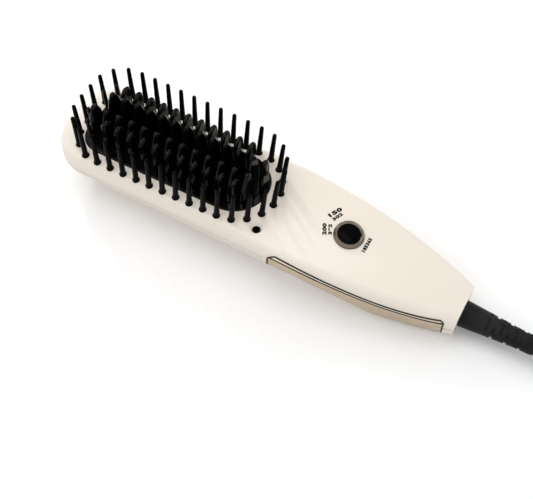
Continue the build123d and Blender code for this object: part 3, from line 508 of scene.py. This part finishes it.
# One printed number as a flat mesh, laid on the casing
def numeralMesh(text, middle, high, length, angle):
    line = bpy.data.curves.new("numeral", "FONT")
    line.body = text
    line.align_x = "CENTER"
    line.align_y = "CENTER"
    line.offset = printFacts["boldness"]
    line.space_character = printFacts["spacing"]
    line.resolution_u = printFacts["smoothness"]
    holder = bpy.data.objects.new("numeral", line)
    collection.objects.link(holder)
    mesh = takeMesh(holder)
    shape = bmesh.new()
    shape.from_mesh(mesh)
    bmesh.ops.subdivide_edges(shape, edges=shape.edges, cuts=1)
    xs = [vert.co.x for vert in shape.verts]
    ys = [vert.co.y for vert in shape.verts]
    middleX = (max(xs) + min(xs)) / 2
    middleY = (max(ys) + min(ys)) / 2
    wide = length / (max(xs) - min(xs)) * mm
    tall = high / (max(ys) - min(ys)) * mm
    turn = Matrix.Rotation(radians(angle), 2)
    for vert in shape.verts:
        flat = turn @ Vector(((vert.co.x - middleX) * wide, (vert.co.y - middleY) * tall))
        x = flat.x + middle[0] * mm
        y = flat.y + middle[1] * mm
        vert.co = Vector((x, y, heightAt(x, y) + printFacts["lift"] * mm))
    bmesh.ops.recalc_face_normals(shape, faces=shape.faces)
    if sum(face.normal.z for face in shape.faces) < 0:
        bmesh.ops.reverse_faces(shape, faces=shape.faces)
    shape.to_mesh(mesh)
    shape.free()
    return mesh


for i, (text, middle, high, length, angle) in enumerate(numerals):
    newPiece("numeral_" + str(i + 1), numeralMesh(text, middle, high, length, angle), "print")
print("numerals:", len(numerals))

# Pins, in millimetres: half outline from the casing's surface up, the lean towards the cord in
# degrees and where it runs, the ring's own stubs, and how the tips are told apart
pinFacts = {
    "outline": (
        (1.24, -0.90), (1.24, -0.30), (1.74, -0.30), (1.78, 0.05), (1.68, 0.30), (1.50, 0.50), (1.36, 0.72),
        (1.29, 1.05), (1.16, 7.0), (1.04, 12.5), (0.95, 17.3), (0.90, 17.75), (0.74, 18.08), (0.44, 18.27),
    ),
    "length": 18.33,
    "sides": 20,
    "leanStart": -112.0,
    "leanEnd": -14.0,
    "lean": 6.5,
    "stub": 27.4,
    "stubShare": 0.1,
    "tipBand": 0.01,
    "tipsApart": 1.0,
    "footReach": 2.1,
    "weld": 0.001,
}
pinMesh = nodes["pin_ring"].data
tipHeight = max(vert.co.z for vert in pinMesh.vertices)
tips = []
apart = pinFacts["tipsApart"] * mm
for vert in pinMesh.vertices:
    x, y, z = vert.co
    if z > tipHeight - pinFacts["tipBand"] * mm and all(abs(x - a) + abs(y - b) > apart for a, b in tips):
        tips.append((x, y))
print("pin tips:", len(tips))


# One pin with its collar, turned about Z, its foot at the origin
def pinPattern():
    shape = bmesh.new()
    rings = []
    for side in range(pinFacts["sides"]):
        angle = 2 * pi * side / pinFacts["sides"]
        rings.append([shape.verts.new((r * cos(angle) * mm, r * sin(angle) * mm, z * mm))
                      for r, z in pinFacts["outline"]])
    foot = shape.verts.new((0, 0, pinFacts["outline"][0][1] * mm))
    tip = shape.verts.new((0, 0, pinFacts["length"] * mm))
    for side, ring in enumerate(rings):
        after = rings[(side + 1) % len(rings)]
        shape.faces.new((foot, after[0], ring[0]))
        shape.faces.new((tip, ring[-1], after[-1]))
        for i in range(len(ring) - 1):
            shape.faces.new((ring[i], after[i], after[i + 1], ring[i + 1]))
    bmesh.ops.recalc_face_normals(shape, faces=shape.faces)
    for face in shape.faces:
        face.smooth = True
    mesh = bpy.data.meshes.new("pin")
    shape.to_mesh(mesh)
    shape.free()
    return mesh


# A Geometry Nodes tree with named inputs, and the means to link it up
def newTree(name, inputs):
    tree = bpy.data.node_groups.new(name, "GeometryNodeTree")
    tree.interface.new_socket("Geometry", in_out="INPUT", socket_type="NodeSocketGeometry")
    sockets = {}
    for label, kind in inputs:
        sockets[label] = tree.interface.new_socket(label, in_out="INPUT", socket_type=kind).identifier
    tree.interface.new_socket("Geometry", in_out="OUTPUT", socket_type="NodeSocketGeometry")
    return tree, sockets, tree.nodes.new("NodeGroupInput"), tree.nodes.new("NodeGroupOutput")


# Runs a tree on a mesh with its inputs set, and gives the plain mesh
def runTree(tree, sockets, mesh, values):
    holder = bpy.data.objects.new("holder", mesh)
    modifier = holder.modifiers.new("made", "NODES")
    modifier.node_group = tree
    for label, value in values.items():
        modifier[sockets[label]] = value
    collection.objects.link(holder)
    return takeMesh(holder)


# Pins on points: each leans with its place along X and reaches the one tip height
pinTree, pinSockets, given, result = newTree("pinsOnPoints", [
    ("Pin", "NodeSocketObject"),
    ("Finish", "NodeSocketMaterial"),
    ("Lean Start", floatKind),
    ("Lean End", floatKind),
    ("Lean", floatKind),
    ("Tip Height", floatKind),
    ("Length", floatKind),
])
info = pinTree.nodes.new("GeometryNodeObjectInfo")
where = pinTree.nodes.new("GeometryNodeInputPosition")
split = pinTree.nodes.new("ShaderNodeSeparateXYZ")
share = pinTree.nodes.new("ShaderNodeMapRange")
turnPin = pinTree.nodes.new("ShaderNodeCombineXYZ")
sizePin = pinTree.nodes.new("ShaderNodeCombineXYZ")
sizePin.inputs[0].default_value = 1.0
sizePin.inputs[1].default_value = 1.0
setOn = pinTree.nodes.new("GeometryNodeInstanceOnPoints")
realize = pinTree.nodes.new("GeometryNodeRealizeInstances")
paint = pinTree.nodes.new("GeometryNodeSetMaterial")
link = pinTree.links.new
link(given.outputs["Pin"], info.inputs["Object"])
link(where.outputs["Position"], split.inputs[0])
link(split.outputs["X"], share.inputs["Value"])
link(given.outputs["Lean Start"], share.inputs["From Min"])
link(given.outputs["Lean End"], share.inputs["From Max"])
link(given.outputs["Lean"], share.inputs["To Max"])
link(share.outputs["Result"], turnPin.inputs["Y"])
reach = addMath(pinTree, "SUBTRACT", given.outputs["Tip Height"], split.outputs["Z"])
link(addMath(pinTree, "DIVIDE", reach, given.outputs["Length"]), sizePin.inputs["Z"])
link(given.outputs["Geometry"], setOn.inputs["Points"])
link(info.outputs["Geometry"], setOn.inputs["Instance"])
link(turnPin.outputs[0], setOn.inputs["Rotation"])
link(sizePin.outputs[0], setOn.inputs["Scale"])
link(setOn.outputs["Instances"], realize.inputs["Geometry"])
link(realize.outputs["Geometry"], paint.inputs["Geometry"])
link(given.outputs["Finish"], paint.inputs["Material"])
link(paint.outputs["Geometry"], result.inputs["Geometry"])

feet = []
reach = pinFacts["footReach"] * mm
for x, y in sorted(tips):
    around = [heightAt(x + reach * cos(a), y + reach * sin(a)) for a in (0, pi / 2, pi, 3 * pi / 2)]
    feet.append((x, y, sorted(around)[-2]))
cloud = bpy.data.meshes.new("feet")
cloud.from_pydata(feet, [], [])
pattern = bpy.data.objects.new("pattern", pinPattern())
collection.objects.link(pattern)
standing = runTree(pinTree, pinSockets, cloud, {
    "Pin": pattern,
    "Finish": materials["pins"],
    "Lean Start": pinFacts["leanStart"] * mm,
    "Lean End": pinFacts["leanEnd"] * mm,
    "Lean": radians(pinFacts["lean"]),
    "Tip Height": tipHeight,
    "Length": pinFacts["length"] * mm,
})
bpy.data.objects.remove(pattern)
whole = bmesh.new()
whole.from_mesh(pinMesh)
bmesh.ops.remove_doubles(whole, verts=whole.verts, dist=pinFacts["weld"] * mm)
for vert in whole.verts:
    if vert.co.z > pinFacts["stub"] * mm:
        vert.co.z = pinFacts["stub"] * mm + (vert.co.z - tipHeight) * pinFacts["stubShare"]
whole.from_mesh(standing)
ringMesh = bpy.data.meshes.new("pins")
whole.to_mesh(ringMesh)
whole.free()
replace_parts(newPiece("pins_on_ring", ringMesh, "pins"), "pin_ring")
print("pins:", len(feet))

# Side trims, in millimetres: upper and lower edges along X, set-backs of the corners above and
# below with the share of the height each takes, and the lines: finish, drop, radius
trimFacts = {
    "upper": ((-6.0, 25.3), (-1.7, 25.0), (3.1, 24.4), (8.7, 23.6), (17.7, 22.2), (27.1, 20.7), (36.6, 19.1),
              (46.2, 17.8), (53.5, 17.1), (60.3, 16.6), (66.1, 16.3), (74.0, 16.0)),
    "lower": ((-6.0, 10.8), (10.0, 9.5), (20.0, 8.5), (29.0, 7.4), (36.0, 6.3), (42.4, 5.3), (49.0, 4.4),
              (55.0, 3.8), (62.0, 3.4), (68.0, 3.4), (74.0, 3.8)),
    "ends": (-5.0, 72.8),
    "firstCorners": ((3.2, 0.22), (1.2, 0.20)),
    "lastCorners": ((1.6, 0.12), (1.2, 0.12)),
    "farDrop": 2.4,
    "proud": 0.22,
    "borderProud": 0.02,
    "thickness": 0.9,
    "rayShifts": (-0.3, 0.0, 0.3),
    "sharp": 0.7,
    # The two dark lines are painted shade, at the trim's upper edge and in the groove under the bright bead
    "lines": (("paintedEdgeShade", 0.0, 0.34), ("edgeBright", 0.62, 0.25), ("paintedEdgeShade", 1.25, 0.36)),
    "lift": 0.12,
    "high": 11.0,
    "endSteps": 14,
    "endStep": 0.06,
    "along": 110,
    "across": 24,
    "sides": 10,
}


# How far rounded corners set an end of the trim back, at a share down its height
def setBack(corners, down):
    (above, aboveShare), (below, belowShare) = corners
    return (above * max(0.0, 1 - down / aboveShare) ** 2
            + below * max(0.0, 1 - (1 - down) / belowShare) ** 2)


# A place on the trim: share along, share down its height, how far it stands proud
def trimPlace(share, down, proud, side):
    first, last = trimFacts["ends"]
    first += setBack(trimFacts["firstCorners"], down)
    last -= setBack(trimFacts["lastCorners"], down)
    x = first + (last - first) * share
    top = flowing(trimFacts["upper"], x) - (trimFacts["farDrop"] if side > 0 else 0.0)
    z = top + (flowing(trimFacts["lower"], x) - top) * down
    found = []
    for shift in trimFacts["rayShifts"]:
        start = Vector((x * mm, side * rayBeside, (z + shift) * mm))
        found.append(sideSurface.ray_cast(start, Vector((0, -side, 0)))[0].y * 1000)
    spot = runIn(x, sorted(found)[1], z)
    spot.y += side * proud
    return spot * mm


# One trim as a closed sheet, its outer face proud and its border let in
def trimMesh(side):
    shape = bmesh.new()
    along, across = trimFacts["along"], trimFacts["across"]
    outer, inner = [], []
    for i in range(along + 1):
        outer.append([])
        for j in range(across + 1):
            border = i in (0, along) or j in (0, across)
            lift = trimFacts["borderProud"] if border else trimFacts["proud"]
            outer[i].append(shape.verts.new(trimPlace(i / along, j / across, lift, side)))
    for i in range(along + 1):
        inner.append([shape.verts.new(trimPlace(i / along, j / across, -trimFacts["thickness"], side))
                      for j in range(across + 1)])
    for i in range(along):
        for j in range(across):
            shape.faces.new((outer[i][j], outer[i + 1][j], outer[i + 1][j + 1], outer[i][j + 1]))
            shape.faces.new((inner[i][j], inner[i][j + 1], inner[i + 1][j + 1], inner[i + 1][j]))
    edge = [(i, 0) for i in range(along)] + [(along, j) for j in range(across)]
    edge += [(i, across) for i in range(along, 0, -1)] + [(0, j) for j in range(across, 0, -1)]
    for (i, j), (m, n) in zip(edge, edge[1:] + edge[:1]):
        shape.faces.new((outer[i][j], inner[i][j], inner[m][n], outer[m][n]))
    bmesh.ops.recalc_face_normals(shape, faces=shape.faces)
    for face in shape.faces:
        face.smooth = True
    for line in shape.edges:
        if len(line.link_faces) == 2 and line.calc_face_angle() > trimFacts["sharp"]:
            line.smooth = False
    mesh = bpy.data.meshes.new("trim")
    shape.to_mesh(mesh)
    shape.free()
    return mesh


# A round strip along a line of places, with Geometry Nodes
tubeTree, tubeSockets, given, result = newTree("roundAlongLine", [
    ("Radius", floatKind),
    ("Sides", "NodeSocketInt"),
    ("Finish", "NodeSocketMaterial"),
])
toCurve = tubeTree.nodes.new("GeometryNodeMeshToCurve")
circle = tubeTree.nodes.new("GeometryNodeCurvePrimitiveCircle")
toTube = tubeTree.nodes.new("GeometryNodeCurveToMesh")
toTube.inputs["Fill Caps"].default_value = True
smooth = tubeTree.nodes.new("GeometryNodeSetShadeSmooth")
realize = tubeTree.nodes.new("GeometryNodeRealizeInstances")
paint = tubeTree.nodes.new("GeometryNodeSetMaterial")
link = tubeTree.links.new
link(given.outputs["Geometry"], toCurve.inputs["Mesh"])
link(given.outputs["Radius"], circle.inputs["Radius"])
link(given.outputs["Sides"], circle.inputs["Resolution"])
link(toCurve.outputs["Curve"], toTube.inputs["Curve"])
link(circle.outputs["Curve"], toTube.inputs["Profile Curve"])
link(toTube.outputs["Mesh"], smooth.inputs["Geometry"])
link(smooth.outputs["Geometry"], realize.inputs["Geometry"])
link(realize.outputs["Geometry"], paint.inputs["Geometry"])
link(given.outputs["Finish"], paint.inputs["Material"])
link(paint.outputs["Geometry"], result.inputs["Geometry"])


# A fine strip of one finish along some points, as a piece
def stripAlong(name, points, radius, finish, sides):
    path = bpy.data.meshes.new("path")
    path.from_pydata(points, [(i, i + 1) for i in range(len(points) - 1)], [])
    tube = runTree(tubeTree, tubeSockets, path, {
        "Radius": radius * mm,
        "Sides": sides,
        "Finish": materials[finish],
    })
    return newPiece(name, tube, finish)


for side, sideName in ((1, "left"), (-1, "right")):
    trim = newPiece("side_trim_" + sideName, trimMesh(side), "trim")
    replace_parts(trim, "trim_" + sideName)
    # Each line is a strip; the dark ones are painted shade, and the one at the upper edge runs on round the
    # trim's ends
    for number, (finish, drop, radius) in enumerate(trimFacts["lines"]):
        down = drop / trimFacts["high"]
        spots = [(step / trimFacts["along"], down) for step in range(trimFacts["along"] + 1)]
        if drop == 0:
            ends = [trimFacts["endStep"] * step for step in range(1, trimFacts["endSteps"] + 1)]
            spots = [(0.0, low) for low in reversed(ends)] + spots + [(1.0, low) for low in ends]
        points = [trimPlace(share, low, trimFacts["lift"], side) for share, low in spots]
        label = "trim_edge_" + sideName + "_" + str(number + 1)
        stripAlong(label, points, radius, finish, trimFacts["sides"])
print("side trims done")

# Two fine lines of painted shade round the head, a darker copy of the casing's colour where a small step in
# the wall shades, just above where the casing turns under
seamFacts = {"heights": (20.1, 21.8), "radius": 0.13, "end": -6.5, "every": 12, "rayStart": 10.0,
             "sunk": 0.06, "sides": 8}
for number, high in enumerate(seamFacts["heights"]):
    half = []
    for x, y in rim[::seamFacts["every"]]:
        if x < seamFacts["end"]:
            inward = rimDepth(x, y)[1]
            way = Vector((inward.x, inward.y, 0))
            start = (Vector((x, y, high)) - way * seamFacts["rayStart"]) * mm
            hit = sideSurface.ray_cast(start, way)
            if hit[0]:
                half.append(hit[0] + way * seamFacts["sunk"] * mm)
    whole = [Vector((spot.x, -spot.y, spot.z)) for spot in reversed(half)] + half
    stripAlong("seam_line_" + str(number + 1), whole, seamFacts["radius"], "seamShade", seamFacts["sides"])
print("seam lines done")

# Floor, light and background: half the floor's side and its drop in metres, then brightnesses
stageFacts = {
    "half": 4.0,
    "drop": 0.0001,
    "floor": 0.80,
    "floorSeen": 0.97,
    "world": 0.74,
    "worldSeen": 1.0,
}


# 1 for the rays that show the background: to the camera, mirrored or let through
def raysThatSee(tree):
    path = tree.nodes.new("ShaderNodeLightPath")
    seen = addMath(tree, "MAXIMUM", path.outputs["Is Camera Ray"], path.outputs["Is Glossy Ray"])
    return addMath(tree, "MAXIMUM", seen, path.outputs["Is Transmission Ray"])


floorMesh = bpy.data.meshes.new("floor")
half = stageFacts["half"]
corners = [(-half, -half, 0), (half, -half, 0), (half, half, 0), (-half, half, 0)]
floorMesh.from_pydata(corners, [], [(0, 1, 2, 3)])
floor = bpy.data.objects.new("floor", floorMesh)
floor.location.z = -stageFacts["drop"]
collection.objects.link(floor)
floorFinish = bpy.data.materials.new("floorFinish")
floorFinish.use_nodes = True
tree = floorFinish.node_tree
floorShader = tree.nodes["Principled BSDF"]
floorShader.inputs["Roughness"].default_value = 0.9
floorShader.inputs["Specular IOR Level"].default_value = 0.2
seen = tree.nodes.new("ShaderNodeMix")
seen.data_type = "RGBA"
seen.inputs[6].default_value = (*[stageFacts["floor"]] * 3, 1)
seen.inputs[7].default_value = (*[stageFacts["floorSeen"]] * 3, 1)
tree.links.new(raysThatSee(tree), seen.inputs["Factor"])
tree.links.new(seen.outputs[2], floorShader.inputs["Base Color"])
floorMesh.materials.append(floorFinish)

world = bpy.data.worlds.new("world")
bpy.context.scene.world = world
world.use_nodes = True
tree = world.node_tree
background = tree.nodes["Background"]
background.inputs["Color"].default_value = (1, 1, 1, 1)
strength = tree.nodes.new("ShaderNodeMapRange")
strength.inputs["To Min"].default_value = stageFacts["world"]
strength.inputs["To Max"].default_value = stageFacts["worldSeen"]
tree.links.new(raysThatSee(tree), strength.inputs["Value"])
tree.links.new(strength.outputs["Result"], background.inputs["Strength"])

# Lights: where each stands, what it looks at, its size and power
lamps = {
    "key": {"at": (-0.26, 0.06, 1.05), "to": (-0.03, 0.0, 0.02), "size": (0.95, 0.68), "power": 3.8},
    "front": {"at": (-0.30, -0.62, 0.80), "to": (-0.02, 0.0, 0.02), "size": (1.50, 0.25), "power": 0.75},
    "strip": {"at": (-0.74, 0.50, 0.60), "to": (-0.06, 0.0, 0.03), "size": (0.04, 0.36), "power": 1.7},
}
for name, facts in lamps.items():
    lamp = bpy.data.lights.new(name, "AREA")
    lamp.shape = "RECTANGLE"
    lamp.size = facts["size"][0]
    lamp.size_y = facts["size"][1]
    lamp.energy = facts["power"]
    holder = bpy.data.objects.new(name, lamp)
    at = Vector(facts["at"])
    look = (Vector(facts["to"]) - at).to_track_quat("-Z", "Y")
    holder.matrix_world = Matrix.Translation(at) @ look.to_matrix().to_4x4()
    collection.objects.link(holder)
bpy.context.scene.view_settings.view_transform = "Standard"
print("stage set")
